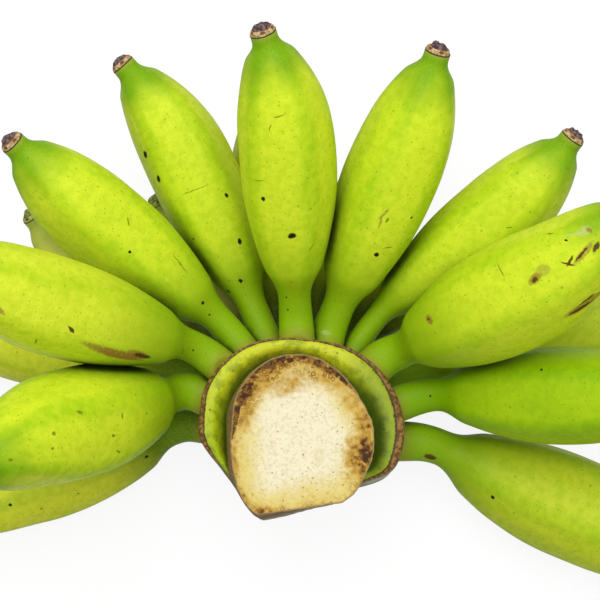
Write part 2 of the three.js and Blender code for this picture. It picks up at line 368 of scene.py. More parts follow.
# Where the cut pulp has browned in the air: the place on the cut in millimetres from the stalk's
# middle, its half length and half width, how far it is turned, and how dark it is.
STAINS = [
    (-12, 25, 13, 4.2, 32, 0.95),
    (-21.5, 14.5, 9, 3.6, 60, 0.9),
    (-16, 19, 10, 5.0, 40, 0.5),
    (-21.4, 6.0, 7, 3.6, 75, 0.5),
    (-5, 17.5, 9, 5, 20, 0.42),
    (8, 25, 8, 3.2, -24, 0.62),
    (10, 20, 9, 5.5, -30, 0.42),
    (18.5, 11, 10, 5, -60, 0.36),
    (24.0, -9.5, 9, 4.6, 84, 1.0),
    (20.5, -10, 9.0, 5.4, 80, 0.66),
    (23.0, -20, 6.5, 3.2, 74, 0.7),
    (23.5, 2, 8.0, 4.2, 100, 0.62),
    (6.4, -9.6, 4.5, 3.0, 60, 0.22),
    (-15, -31, 6.5, 2.2, -10, 0.85),
    (-24, -24, 8.0, 1.6, -52, 0.55),
    (-26, -10, 9, 1.3, 96, 0.5),
    (2, -29.5, 18, 1.1, 8, 0.45),
]


def stalk_pulp():
    """Wet, spongy pulp, freshly sawn: cream in the middle, tan and bubbly towards the skin, flecked
    all over with the cut ends of fibres, and browned where it has dried."""
    material, tree = new_material("sawn_stalk_pulp")
    place = local_place(tree)
    depth = add(tree, "Attribute", out="Fac", attribute_name="from_rim")
    cloud = add(tree, "TexNoise", [place, 1 / 6, 4])
    fine = add(tree, "TexNoise", [place, 1 / 1.1, 4])
    warp = add(tree, "TexNoise", [place, 1 / 2.4, 3], out="Color")
    warp = add(tree, "VectorMath", [warp, [0.5] * 3], operation="SUBTRACT")
    bent = add(tree, "VectorMath", [warp, [3.4] * 3, place], operation="MULTIPLY_ADD")
    # The side towards the bananas has browned most: how far towards it, in millimetres.
    brown_side = add(tree, "VectorMath", [place, (-0.36, 0.93, 0)], operation="DOT_PRODUCT")
    browned = add(tree, "MapRange", [brown_side, -2, 22], interpolation_type="SMOOTHSTEP")
    # Cream in the middle, through straw, to a clouded tan under the skin.
    inward = add(tree, "Math", [cloud, -9, depth], operation="MULTIPLY_ADD")
    straw = add(tree, "MapRange", [inward, 11, -1.5], interpolation_type="SMOOTHSTEP")
    colour = add(tree, "Mix", [straw, paint("#DFD7B8"), paint("#D2BF6F")], data_type="RGBA")
    clump = add(tree, "TexNoise", [place, 1 / 2.8, 4])
    reach = add(tree, "Math", [browned, -8, inward], operation="MULTIPLY_ADD")
    reach = add(tree, "Math", [clump, 9, reach], operation="MULTIPLY_ADD")
    outer = add(tree, "MapRange", [reach, 5, -5], interpolation_type="SMOOTHSTEP")
    colour = add(tree, "Mix", [outer, colour, paint("#C0A455")], data_type="RGBA")
    speckle = add(tree, "MapRange", [fine, 0.45, 0.68, 0, 0.3], interpolation_type="SMOOTHSTEP")
    colour = add(tree, "Mix", [speckle, colour, paint("#B09357")], data_type="RGBA")
    # Bubbly cells about 1.5 mm across, browned round their edges.
    wavy = add(tree, "VectorMath", [warp, [1.2] * 3, place], operation="MULTIPLY_ADD")
    cells = add(tree, "TexVoronoi", [wavy, 1 / 1.9])
    walls = add(tree, "Math", [cells, 0.36], operation="SUBTRACT")
    walls = add(tree, "Math", [walls], operation="ABSOLUTE")
    walls = add(tree, "MapRange", [walls, 0.2, 0.04], interpolation_type="SMOOTHSTEP")
    walls = add(tree, "Math", [walls, outer], operation="MULTIPLY")
    worn = add(tree, "MapRange", [cloud, 0.35, 0.6, 0.4, 0.95], interpolation_type="SMOOTHSTEP")
    walls = add(tree, "Math", [walls, worn], operation="MULTIPLY")
    # The cut ends of fibres, half a millimetre to a millimetre across and 2 mm apart.
    fibres = add(tree, "TexVoronoi", [wavy, 1 / 1.9])
    chance = add(tree, "SeparateColor", [fibres.node.outputs["Color"]], out="Red")
    size = add(tree, "MapRange", [chance, 0, 1, 0.04, 0.24])
    dots = add(tree, "Math", [size, fibres], operation="SUBTRACT")
    dots = add(tree, "MapRange", [dots, -0.05, 0.12, 0, 0.75], interpolation_type="SMOOTHSTEP")
    stain = 0
    for x, y, long, wide, turned, dark in STAINS:
        spot = {"Vector": bent, "Location": (x, y, STALK_HEIGHT), "Scale": (long, wide, 30)}
        spot["Rotation"] = (0, 0, math.radians(turned))
        near = add(tree, "Mapping", spot, vector_type="TEXTURE")
        far = add(tree, "VectorMath", [near], operation="LENGTH")
        here = add(tree, "MapRange", [far, 1.5, 0.3, 0, dark])
        stain = add(tree, "Math", [stain, here], operation="MAXIMUM")
    # The rim: a thin pale edge of skin, and inside it a browned band, widest on the brown side.
    band = add(tree, "MapRange", [browned, 0.2, 0.9, 0.7, 3.3])
    ragged = add(tree, "Math", [fine, 1.6, depth], operation="MULTIPLY_ADD")
    ragged = add(tree, "Math", [ragged, 0.8], operation="SUBTRACT")
    rim = add(tree, "Math", [band, ragged], operation="SUBTRACT")
    rim = add(tree, "MapRange", [rim, -0.6, 0.5, 0, 0.95], interpolation_type="SMOOTHSTEP")
    most = add(tree, "MapRange", [browned, 0, 0.7, 0.6, 1])
    rim = add(tree, "Math", [rim, most], operation="MULTIPLY")
    stain = add(tree, "Math", [stain, rim], operation="MAXIMUM")
    grains = add(tree, "TexNoise", [place, 1 / 1.8, 3])
    patchy = add(tree, "Math", [grains, 0.8, clump], operation="MULTIPLY_ADD")
    patchy = add(tree, "MapRange", [patchy, 0.65, 1.15, 0.45, 1.4])
    stain = add(tree, "Math", [stain, patchy], operation="MULTIPLY")
    gold = add(tree, "MapRange", [stain, 0.05, 0.5], interpolation_type="SMOOTHSTEP")
    colour = add(tree, "Mix", [gold, colour, paint("#B5903A")], data_type="RGBA")
    brown = add(tree, "MapRange", [stain, 0.4, 0.85], interpolation_type="SMOOTHSTEP")
    colour = add(tree, "Mix", [brown, colour, paint("#754E1C")], data_type="RGBA")
    dark = add(tree, "MapRange", [stain, 0.7, 1.0], interpolation_type="SMOOTHSTEP")
    colour = add(tree, "Mix", [dark, colour, paint("#402714")], data_type="RGBA")
    colour = add(tree, "Mix", [walls, colour, paint("#7C551B")], data_type="RGBA")
    colour = add(tree, "Mix", [dots, colour, paint("#8B7D4C")], data_type="RGBA")
    skin = add(tree, "MapRange", [depth, 0.75, 0.35, 0, 0.7], interpolation_type="SMOOTHSTEP")
    colour = add(tree, "Mix", [skin, colour, paint("#93815A")], data_type="RGBA")
    height = add(tree, "Math", [cells, outer, fine], operation="MULTIPLY_ADD")
    rough = add(tree, "MapRange", [cloud, 0.3, 0.7, 0.6, 0.8])
    bump = add(tree, "Bump", {"Height": height, "Strength": 0.5, "Distance": 0.0005})
    pulp = {"Base Color": colour, "Roughness": rough, "Normal": bump, "IOR": 1.45}
    shader = add(tree, "BsdfPrincipled", {**pulp, "Specular IOR Level": 0.2})
    add(tree, "OutputMaterial", [shader])
    return material


crown.data.materials.append(stalk_pulp())
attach(crown, "root")
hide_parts("stalk_crown")

# ---------------------------------------------------------------------------------------------
# The bananas: unripe fruit, each grown in one piece with its own stalk, with five soft ridges down
# its peel and the dried foot of its flower on its tip. All are joined to the collar by their
# stalks, nine in the upper row and nine in the lower one.

# The shares of a banana's length at which its stalk ends, its belly is widest and its neck begins,
# and its sizes in millimetres.
STEM_END = 0.12
BELLY = 0.57
NECK = 0.985
SHOULDER_POWER = 2.6
STEM_RADIUS = 5.6
TIP_RADIUS = 5
RIDGES = 5
RIDGE_HEIGHT = 0.03
JOIN_GAP = 0.35
RISE_SHARE = 0.14
TURN_SHARE = 0.35
HOOK_FROM = 0.6
ROOT_DEPTH = 3
ROOT_SPREADS_OVER = 11
ROOT_WIDENS = 0.12
ROOT_DEEPENS = 0.3
UNDER_RIM = 1.2
RIM_CLEARS_OVER = 4
BANANA_SIDES = 104
BANANA_RINGS = 150

# Each banana, from the left end round to the right: where its stalk joins, the way it points, how
# much its tip turns, how steeply it rises and curls, the height of its join, its length, its girth
# and where its first ridge is. Some go on with their own stalk radius, share for turning and how
# early they swell.
UPPER_ROW = [
    (156.5, 206, 40, 38, 62, 41, 128, 42, 20, 7.2, 0.12, 0.07),
    (139.5, 172, -22, 41, 55, 49, 141.5, 37, 66, 6.4, 0.18, 0.04),
    (124.5, 142.5, -1.5, 15, 36.5, 42.5, 127, 37, 42, 6, 0.22),
    (110.5, 115, 20, 4.5, 25.5, 35.5, 131.5, 36.5, 60, 6),
    (93.5, 93.5, 18.5, 37, 42, 48, 130, 37.5, 64, 6.5),
    (76.5, 66, 5.5, 27, 38.5, 41, 130.5, 37.5, 30, 6.6, 0.12),
    (60, 36.5, 13.5, 11, 32, 36.5, 128, 35.5, 50, 4.8, 0.31, -0.03),
    (45, 20.5, 33, 43, 46.5, 45, 137, 42.5, 58, 7.2, 0.08, 0.07),
    (20, -5, 1, 16, 49, 39.5, 118, 38, 40, 6.6, 0.22),
]
LOWER_ROW = [
    (170.5, 200.5, 24, -13, 33.5, 19, 121.5, 36, 45, 6.4, 0.11, 0.06),
    (149, 171, -10, -13.5, 34, 17.5, 130, 35, 60, STEM_RADIUS, 0.3),
    (131, 151.5, -20, -14.5, 34, 15, 112, 28.5, 30),
    (116, 125.5, 3.5, -13.5, 35.5, 11.5, 82.5, 22, 50),
    (102, 93.5, 5, -14.5, 36, 17, 108, 33.5, 66, STEM_RADIUS, 0.4),
    (84, 61.5, 16, -13.5, 36, 16.5, 121.5, 35, 20),
    (63, 38.5, 0.5, -14.5, 35, 17, 112, 31.5, 40, 7.6, 0.3, 0.1),
    (33, 12, -12, -13, 33, 18, 126.5, 35, 55, STEM_RADIUS, 0.25),
    (0, -24, -24, -22, 29, 29, 131.5, 43, 62, 7.4, 0.18),
]

# The dried foot of the flower, from the peel's edge to its middle: the radius and how far it stands
# beyond the peel. A cork cup with five browned dents round it, and the dark stump of the flower.
FLOWER = [
    (4.95, 0.05),
    (4.75, -0.10),
    (4.75, 0.40),
    (4.60, 0.95),
    (4.20, 1.45),
    (3.70, 1.70),
    (3.20, 2.00),
    (2.80, 2.60),
    (2.20, 2.95),
    (1.40, 3.05),
    (0.50, 3.00),
]
FLOWER_RINGS_A_STEP = 3
CUP_FROM = 0.3
CUP_TO = 1.7


def swelling(along):
    """How far a banana has swelled from its stalk or tip, 0, to its full girth, 1."""
    rise = share(along, STEM_END, BELLY)
    swelled = np.sin(rise * math.pi / 2) * smooth(rise / 0.3)
    fall = share(along, BELLY, NECK)
    return np.where(along < BELLY, swelled, (1 - fall**SHOULDER_POWER) * smooth((1 - fall) / 0.15))


def grow_banana(name, sizes, seed, on_table):
    join, head, hook, lift, curl, height, length, girth, ridge, *own = sizes
    stem, turn, early = (list(own) + [STEM_RADIUS, TURN_SHARE, 0][len(own) :])[:3]

    # Its middle line, worked out stride by stride from its root inside the collar.
    root = -ROOT_DEPTH / length
    along = np.linspace(root, 1, BANANA_RINGS)
    stride = np.diff(along) * length
    halfway = np.clip((along[1:] + along[:-1]) / 2, 0, 1)

    def heading(at):
        turned = (head - join) * smooth(at / turn) + hook * share(at, HOOK_FROM, 1)
        return np.radians(join + turned)

    def steepness(at):
        return np.radians(lift * smooth(at / RISE_SHARE) + (curl - lift) * at)

    def direction(at):
        level = np.cos(steepness(at))
        parts = [level * np.cos(heading(at)), level * np.sin(heading(at)), np.sin(steepness(at))]
        return np.stack(parts, -1)

    half = math.degrees(math.asin(stem / radius_at(COLLAR_RADII, np.array(join))))
    sides = np.array([-half, 0, half])
    reach = (radius_at(COLLAR_RADII, join + sides) * np.cos(np.radians(sides))).max()
    start = float(reach) + JOIN_GAP - ROOT_DEPTH
    where = [start * math.cos(math.radians(join)), start * math.sin(math.radians(join)), height]
    line = np.vstack([where, where + np.cumsum(direction(halfway) * stride[:, None], 0)])

    # Its radius along that line, then over the dried flower.
    end = np.where(along < BELLY, stem, TIP_RADIUS)
    late = np.clip(along + early * np.sin(np.clip(along, 0, 1) * math.pi), 0, 1)
    radius = end + (girth / 2 - end) * swelling(late)
    steps = np.arange(1, (len(FLOWER) - 1) * FLOWER_RINGS_A_STEP + 1) / FLOWER_RINGS_A_STEP
    flower = [np.append(values[0], through(values, steps)) for values in zip(*FLOWER)]
    ahead = direction(np.array(1.0))
    line = np.vstack([line, line[-1] + flower[1][:, None] * ahead])
    radius = np.append(radius, flower[0])
    on_line = np.append(np.clip(along, 0, 1), np.ones(len(flower[0])))
    beyond = np.append(np.zeros(len(along)), flower[1])

    tangent = direction(on_line)
    right = np.stack([np.sin(heading(on_line)), -np.cos(heading(on_line)), on_line * 0], -1)
    back = np.cross(right, tangent)
    angle = np.linspace(-math.pi / 2, 1.5 * math.pi, BANANA_SIDES, endpoint=False)
    body = share(radius, STEM_RADIUS, girth / 3)[:, None]
    body[BANANA_RINGS:] = 0
    wave = RIDGES * (angle - math.radians(ridge))
    ridged = 1 + body * RIDGE_HEIGHT * (np.cos(wave) + 0.22 * np.cos(2 * wave))
    across = radius[:, None] * ridged
    # The straight banana, before it is bent: where its peel's pattern and its marks are set out.
    straight_z = (on_line * length + beyond)[:, None] + 0 * across
    straight_z[: BANANA_RINGS] = (along * length)[:, None]
    straight = np.stack([across * np.cos(angle), across * np.sin(angle), straight_z], -1)
    flat = straight.reshape(-1, 3)
    swells = lumps(flat * (1, 1, 0.5), 9, seed).reshape(across.shape)
    across = across + 0.28 * swells * np.minimum(1, body + 0.2)
    # The root spreads where it runs into the collar and meets its neighbours.
    rooted = np.exp(-((on_line * length / ROOT_SPREADS_OVER) ** 2))[:, None]
    wide = across * np.cos(angle) * (1 + ROOT_WIDENS * rooted)
    tall = across * np.sin(angle) * (1 + ROOT_DEEPENS * rooted * (np.sin(angle) < 0))
    # The dried flower: five dents round its cup, and a lumpy stump that stands up in the middle.
    dried = (np.arange(len(radius)) >= BANANA_RINGS)[:, None]
    up_cup = share(beyond, CUP_FROM, CUP_TO)[:, None]
    dents = np.clip(np.cos(RIDGES * (angle - math.radians(ridge + 36))) * 1.6 - 0.2, 0, 1)
    dents = dents * np.sin(up_cup * math.pi) ** 0.7 * dried
    stump = smooth(share(beyond, CUP_TO - 0.2, CUP_TO + 0.3))[:, None] * dried
    pulled_in = 1 - 0.14 * dents
    knobs = 0.7 * lumps(flat, 1.6, seed + 30).reshape(across.shape)
    knobs = knobs + 0.3 * lumps(flat, 0.8, seed + 60).reshape(across.shape)
    knobs = knobs * (0.2 * dried + 0.8 * stump)
    knobs = knobs * dried * smooth(beyond / 0.5)[:, None]
    rings = (
        line[:, None]
        + (wide * pulled_in)[..., None] * right[:, None]
        + (tall * pulled_in)[..., None] * back[:, None]
        + knobs[..., None] * ahead
    )
    # Where it meets the collar it ducks under the rim. A few millimetres out it is free to rise.
    beyond_rim = np.hypot(rings[..., 0], rings[..., 1]) - radius_at(COLLAR_RADII, np.array(join))
    beyond_rim = np.maximum(0, beyond_rim)
    rim_cover = COLLAR_HEIGHT - UNDER_RIM + beyond_rim * (1 + beyond_rim / RIM_CLEARS_OVER)
    rings[..., 2] = np.minimum(rings[..., 2], rim_cover)
    moved = np.array([STALK_X, STALK_Y, 0])
    if on_table:
        moved[2] = -rings[..., 2].min()
    rings = rings + moved
    piece = ring_mesh(name, rings, rings[0].mean(0), rings[-1].mean(0) + 0.1 * ahead)
    # Its rings run clockwise seen from the tip, so its faces are turned to look outwards.
    piece.data.flip_normals()
    # How browned the dried flower is: not at all on its cup, half in a dent, fully on its stump.
    browned = np.maximum(0.5 * dents, stump) * np.ones_like(across)
    tell(piece, "browned", np.append(browned.ravel(), [0, 1]))
    ends = np.array([[0, 0, -ROOT_DEPTH], [0, 0, length + FLOWER[-1][1]]])
    tell(piece, "straight", np.vstack([straight.reshape(-1, 3), ends]))
    ridges = np.cos(wave) * np.ones_like(across)
    tell(piece, "ridge", np.append(ridges.ravel(), [0, 0]))
    shares = straight_z / length
    tell(piece, "along", np.append(shares.ravel(), [0, 1]))
    face_ring = np.repeat(np.arange(len(rings) - 1), BANANA_SIDES)
    cork = (face_ring >= BANANA_RINGS).astype(int)
    slots = np.concatenate([cork, np.tile([0, 1], BANANA_SIDES)])
    piece.data.polygons.foreach_set("material_index", slots)

    def on_peel(at, around):
        """The place on the straight banana at a share of its length and degrees from its top."""
        towards = math.radians(90 + around)
        surface = float(np.interp(at, along, radius[: BANANA_RINGS]))
        return (surface * math.cos(towards), surface * math.sin(towards), at * length)

    return piece, on_peel, line + moved, radius


# How far a mark reaches through the peel from its middle, in millimetres.
MARK_DEPTH = 6
# What marks a peel: black dead scale, olive pits, thin scratches, corky scars, rubbed and scraped
# patches, brown bruises and dried sap, each with its colour and how strongly it shows.
MARK_COLOURS = {
    "scale": ("#231C06", 1.0),
    "pit": ("#5C630E", 0.75),
    "scratch": ("#5E6D0E", 0.75),
    "scar": ("#937D33", 0.75),
    "rub": ("#8B6825", 0.8),
    "scrape": ("#938F33", 0.6),
    "bruise": ("#4E350E", 0.95),
    "sap": ("#B8BF7A", 0.5),
}

# Each mark: its kind, its share along the banana, its degrees round from the top, its length and
# width in millimetres, and how far it is turned from lying along the banana.
MARKS = {
    "upper_banana_1": [
        ("pit", 0.66, 7, 2.6, 1.5, 20),
        ("pit", 0.49, 18, 2.0, 1.0, 80),
        ("pit", 0.77, 26, 1.8, 1.6, 0),
        ("pit", 0.53, 36, 2.2, 1.4, 10),
        ("pit", 0.50, 56, 3.0, 0.9, 30),
        ("pit", 0.785, 45, 1.4, 1.2, 0),
        ("pit", 0.37, 24, 1.2, 1.0, 0),
        ("pit", 0.92, 48, 1.4, 1.2, 0),
    ],
    "upper_banana_2": [
        ("scratch", 0.165, 36, 5, 0.5, 60),
        ("scale", 0.125, 20, 1.2, 1.0, 0),
        ("bruise", 0.605, 31, 4.5, 1.2, 30),
        ("scar", 0.81, 36, 8, 1.6, 20),
        ("rub", 0.44, 47, 34, 3.6, 6),
        ("rub", 0.40, 48, 26, 4.2, 6),
        ("rub", 0.35, 44, 14, 3.6, 8),
        ("bruise", 0.33, 45, 11, 2.0, 8),
        ("scratch", 0.665, 60, 4, 0.8, 60),
    ],
    "upper_banana_3": [
        ("scale", 0.527, 12, 1.4, 1.2, 0),
        ("scale", 0.219, 0, 1.5, 1.3, 0),
        ("scale", 0.175, 14, 1.0, 0.9, 0),
        ("scratch", 0.365, -22, 11, 0.5, 8),
        ("scratch", 0.592, -15, 4, 0.6, 35),
    ],
    "upper_banana_4": [
        ("scale", 0.723, 60, 3.6, 3.2, 20),
        ("scale", 0.627, 52, 3.4, 2.6, 10),
        ("scale", 0.488, -25, 2.4, 1.6, 0),
        ("scale", 0.335, -20, 2.7, 1.8, 0),
        ("scale", 0.219, 6, 2.0, 1.6, 0),
        ("scale", 0.204, 58, 1.8, 1.4, 0),
        ("scratch", 0.545, 10, 12, 0.45, 94),
        ("scale", 0.404, 45, 1.0, 0.9, 0),
    ],
    "upper_banana_5": [
        ("scale", 0.408, -1, 3.6, 2.6, 80),
        ("scale", 0.531, 32, 2.0, 1.7, 0),
        ("scratch", 0.788, 8, 4.5, 0.6, 84),
        ("scratch", 0.758, 21, 2.8, 0.6, 20),
        ("scratch", 0.588, 36, 4.5, 0.5, 84),
        ("scratch", 0.358, -28, 4.5, 0.6, 35),
        ("scale", 0.162, 29, 1.2, 1.0, 0),
        ("scale", 0.115, 27, 1.4, 0.8, 0),
    ],
    "upper_banana_6": [
        ("scale", 0.377, -25, 2.3, 2.1, 0),
        ("scar", 0.515, -11, 6.0, 1.2, 20),
        ("scar", 0.485, -11, 6, 0.8, -6),
        ("pit", 0.50, -18, 2.4, 1.2, 0),
        ("scale", 0.527, -47, 1.2, 1.0, 0),
        ("scratch", 0.41, -36, 4, 0.6, 70),
        ("sap", 0.04, 6, 4, 2.4, 80),
    ],
    "upper_banana_7": [
        ("scratch", 0.685, -27, 2.6, 0.6, 30),
    ],
    "upper_banana_8": [
        ("rub", 0.700, 0, 6.5, 3.4, -20),
        ("bruise", 0.698, -1, 2.8, 1.8, -25),
        ("scrape", 0.730, 5, 6.0, 4.4, 0),
        ("bruise", 0.793, -3, 5.0, 0.9, 50),
        ("bruise", 0.802, -1, 4.6, 1.0, -30),
        ("scar", 0.84, -3, 11.0, 2.6, -14),
        ("bruise", 0.835, -2, 7.0, 1.0, -14),
        ("bruise", 0.87, -8, 4.0, 1.8, -20),
        ("scratch", 0.79, 45, 3.0, 0.9, 20),
        ("scale", 0.825, 26, 1.0, 0.9, 0),
        ("sap", 0.875, 26, 5, 4, 10),
        ("rub", 0.885, 22, 3, 1.6, 80),
        ("sap", 0.845, 30, 7, 1.0, 20),
        ("rub", 0.735, -66, 16, 4.6, 12),
        ("bruise", 0.72, -66, 9, 2.0, 16),
        ("bruise", 0.75, -60, 6, 1.2, 8),
        ("rub", 0.327, 10, 5, 3.2, 60),
        ("bruise", 0.325, 11, 1.6, 1.0, 60),
        ("scratch", 0.615, 21, 6, 0.6, 78),
    ],
    "upper_banana_9": [
        ("scale", 0.588, 22, 1.2, 1.0, 0),
        ("scale", 0.135, -9, 1.0, 0.9, 0),
    ],
    "lower_banana_1": [
        ("scale", 0.219, 41, 1.7, 1.5, 0),
        ("scale", 0.754, 30, 1.7, 1.4, 20),
        ("pit", 0.496, 46, 1.2, 1.0, 0),
        ("pit", 0.642, 53, 1.2, 1.0, 0),
    ],
    "lower_banana_9": [
        ("scale", 0.331, -42, 2.3, 1.8, 30),
        ("bruise", 0.095, -50, 6, 3.0, 4),
    ],
}


def banana_peel(name, seed, marks, on_peel, shade, green_to):
    """Unripe peel under its own wax: smooth yellow-green with a broad soft highlight, greener along
    the ridges and at both ends, peppered with pores and marked here and there by scale and rubs,
    and painted a deeper green near its neighbours and nearly black where they meet, as shade."""
    material, tree = new_material(name)
    straight = add(tree, "Attribute", out="Vector", attribute_name="straight")
    along = add(tree, "Attribute", out="Fac", attribute_name="along")
    ridge = add(tree, "Attribute", out="Fac", attribute_name="ridge")
    own = add(tree, "VectorMath", [straight, (seed * 31, seed * 17, seed * 53)])
    drawn_out = add(tree, "VectorMath", [own, (1, 1, 0.3)], operation="MULTIPLY")
    patches = add(tree, "TexNoise", [drawn_out, 1 / 10, 3])
    mottle = add(tree, "TexNoise", [own, 1 / 3.2, 3])
    fine = add(tree, "TexNoise", [own, 1 / 0.9, 3])
    # Narrow greener lines along the ridges, broken up, and long faint patches.
    line = add(tree, "MapRange", [ridge, 0.1, 0.95], interpolation_type="SMOOTHSTEP")
    broken = add(tree, "MapRange", [patches, 0.3, 0.7, 0.25, 0.6], interpolation_type="SMOOTHSTEP")
    line = add(tree, "Math", [line, broken], operation="MULTIPLY")
    patch = add(tree, "MapRange", [patches, 0.48, 0.75, 0, 0.25], interpolation_type="SMOOTHSTEP")
    green = add(tree, "Math", [line, patch], operation="MAXIMUM")
    grain = add(tree, "MapRange", [mottle, 0.35, 0.7, 0, 0.36], interpolation_type="SMOOTHSTEP")
    green = add(tree, "Math", [green, grain])
    colour = add(tree, "Mix", [green, paint(shade[0]), paint(shade[1])], data_type="RGBA")
    # The neck and the stalk are a deeper green, which runs on a little along the ridges.
    run = add(tree, "Math", [ridge, 0.012, along], operation="MULTIPLY_ADD")
    run = add(tree, "Math", [patches, 0.08, run], operation="MULTIPLY_ADD")
    neck = add(tree, "MapRange", [run, 0.86, 1.0, 0, 0.9], interpolation_type="SMOOTHSTEP")
    colour = add(tree, "Mix", [neck, colour, paint(shade[2])], data_type="RGBA")
    run = add(tree, "Math", [patches, 0.08, along], operation="MULTIPLY_ADD")
    stalk = add(tree, "MapRange", [run, green_to, 0.16, 0, 0.95], interpolation_type="SMOOTHSTEP")
    colour = add(tree, "Mix", [stalk, colour, paint(shade[3])], data_type="RGBA")
    # A finer mottle all over, faint olive pores half a millimetre wide, and fewer bigger ones.
    veil = add(tree, "MapRange", [fine, 0.4, 0.7, 0, 0.22], interpolation_type="SMOOTHSTEP")
    colour = add(tree, "Mix", [veil, colour, paint(shade[1])], data_type="RGBA")
    tiny = add(tree, "TexVoronoi", [own, 1 / 1.6])
    chance = add(tree, "SeparateColor", [tiny.node.outputs["Color"]], out="Red")
    size = add(tree, "MapRange", [chance, 0.2, 1, 0.02, 0.26])
    pores = add(tree, "Math", [size, tiny], operation="SUBTRACT")
    pores = add(tree, "MapRange", [pores, -0.05, 0.08, 0, 0.5], interpolation_type="SMOOTHSTEP")
    colour = add(tree, "Mix", [pores, colour, paint("#6D8A09")], data_type="RGBA")
    large = add(tree, "TexVoronoi", [own, 1 / 4.4])
    chance = add(tree, "SeparateColor", [large.node.outputs["Color"]], out="Red")
    size = add(tree, "MapRange", [chance, 0.4, 1, 0, 0.14])
    spots = add(tree, "Math", [size, large], operation="SUBTRACT")
    spots = add(tree, "MapRange", [spots, -0.04, 0.06, 0, 0.45], interpolation_type="SMOOTHSTEP")
    spots = add(tree, "Math", [spots, chance], operation="MULTIPLY")
    colour = add(tree, "Mix", [spots, colour, paint("#526A06")], data_type="RGBA")
    # A paler band where the peel thins towards the flower, its dark dried edge, and the brown
    # stain where it joins the collar.
    lip = add(tree, "MapRange", [along, 0.978, 0.996, 0, 0.45], interpolation_type="SMOOTHSTEP")
    colour = add(tree, "Mix", [lip, colour, paint("#A2A647")], data_type="RGBA")
    root = add(tree, "Math", [mottle, 0.05, along], operation="MULTIPLY_ADD")
    root = add(tree, "MapRange", [root, 0.075, 0.018, 0, 0.6], interpolation_type="SMOOTHSTEP")
    colour = add(tree, "Mix", [root, colour, paint("#938630")], data_type="RGBA")
    edge = add(tree, "MapRange", [along, 0.995, 0.9985], interpolation_type="SMOOTHSTEP")
    colour = add(tree, "Mix", [edge, colour, paint("#2B2309")], data_type="RGBA")
    # Painted shade: a deeper green near a neighbour, and a painted shadow, nearly black, where they meet.
    room = add(tree, "Attribute", out="Fac", attribute_name="room")
    room = add(tree, "Math", [fine, 0.6, room], operation="MULTIPLY_ADD")
    painted_shade = add(tree, "MapRange", [room, 8, 1, 0, 0.5], interpolation_type="SMOOTHSTEP")
    colour = add(tree, "Mix", [painted_shade, colour, paint("#557C04")], data_type="RGBA")
    painted_cleft_shadow = add(tree, "MapRange", [room, 3.8, 1.0, 0, 0.93], interpolation_type="SMOOTHSTEP")
    colour = add(tree, "Mix", [painted_cleft_shadow, colour, paint("#1C2A05")], data_type="RGBA")
    jitter = add(tree, "TexNoise", [own, 1 / 1.2, 2], out="Color")
    jitter = add(tree, "VectorMath", [jitter, [0.5] * 3], operation="SUBTRACT")
    bent = add(tree, "VectorMath", [jitter, [1.1] * 3, straight], operation="MULTIPLY_ADD")
    marked = 0
    for kind, at, around, length, width, turned in marks:
        spot = {"Vector": bent, "Location": on_peel(at, around)}
        spot["Scale"] = (MARK_DEPTH, width / 2, length / 2)
        spot["Rotation"] = (math.radians(turned), 0, math.radians(90 + around))
        near = add(tree, "Mapping", spot, vector_type="TEXTURE")
        far = add(tree, "VectorMath", [near], operation="LENGTH")
        tint, strength = MARK_COLOURS[kind]
        here = add(tree, "MapRange", [far, 1.2, 0.7, 0, strength], interpolation_type="SMOOTHSTEP")
        if kind in ("scar", "rub", "scrape", "sap"):
            span = [fine, 0.25, 0.5, 0.3, 1]
            flaked = add(tree, "MapRange", span, interpolation_type="SMOOTHSTEP")
            here = add(tree, "Math", [here, flaked], operation="MULTIPLY")
        colour = add(tree, "Mix", [here, colour, paint(tint)], data_type="RGBA")
        marked = add(tree, "Math", [marked, here], operation="MAXIMUM")
    height = add(tree, "Math", [patches, 3, fine], operation="MULTIPLY_ADD")
    height = add(tree, "Math", [marked, -1.5, height], operation="MULTIPLY_ADD")
    rough = add(tree, "MapRange", [mottle, 0.3, 0.7, 0.44, 0.56])
    rough = add(tree, "Math", [marked, 0.3, rough], operation="MULTIPLY_ADD")
    bump = add(tree, "Bump", {"Height": height, "Strength": 0.2, "Distance": 0.0004})
    peel = {"Base Color": colour, "Roughness": rough, "Normal": bump, "IOR": 1.45}
    shader = add(tree, "BsdfPrincipled", {**peel, "Specular IOR Level": 0.15})
    add(tree, "OutputMaterial", [shader])
    return material


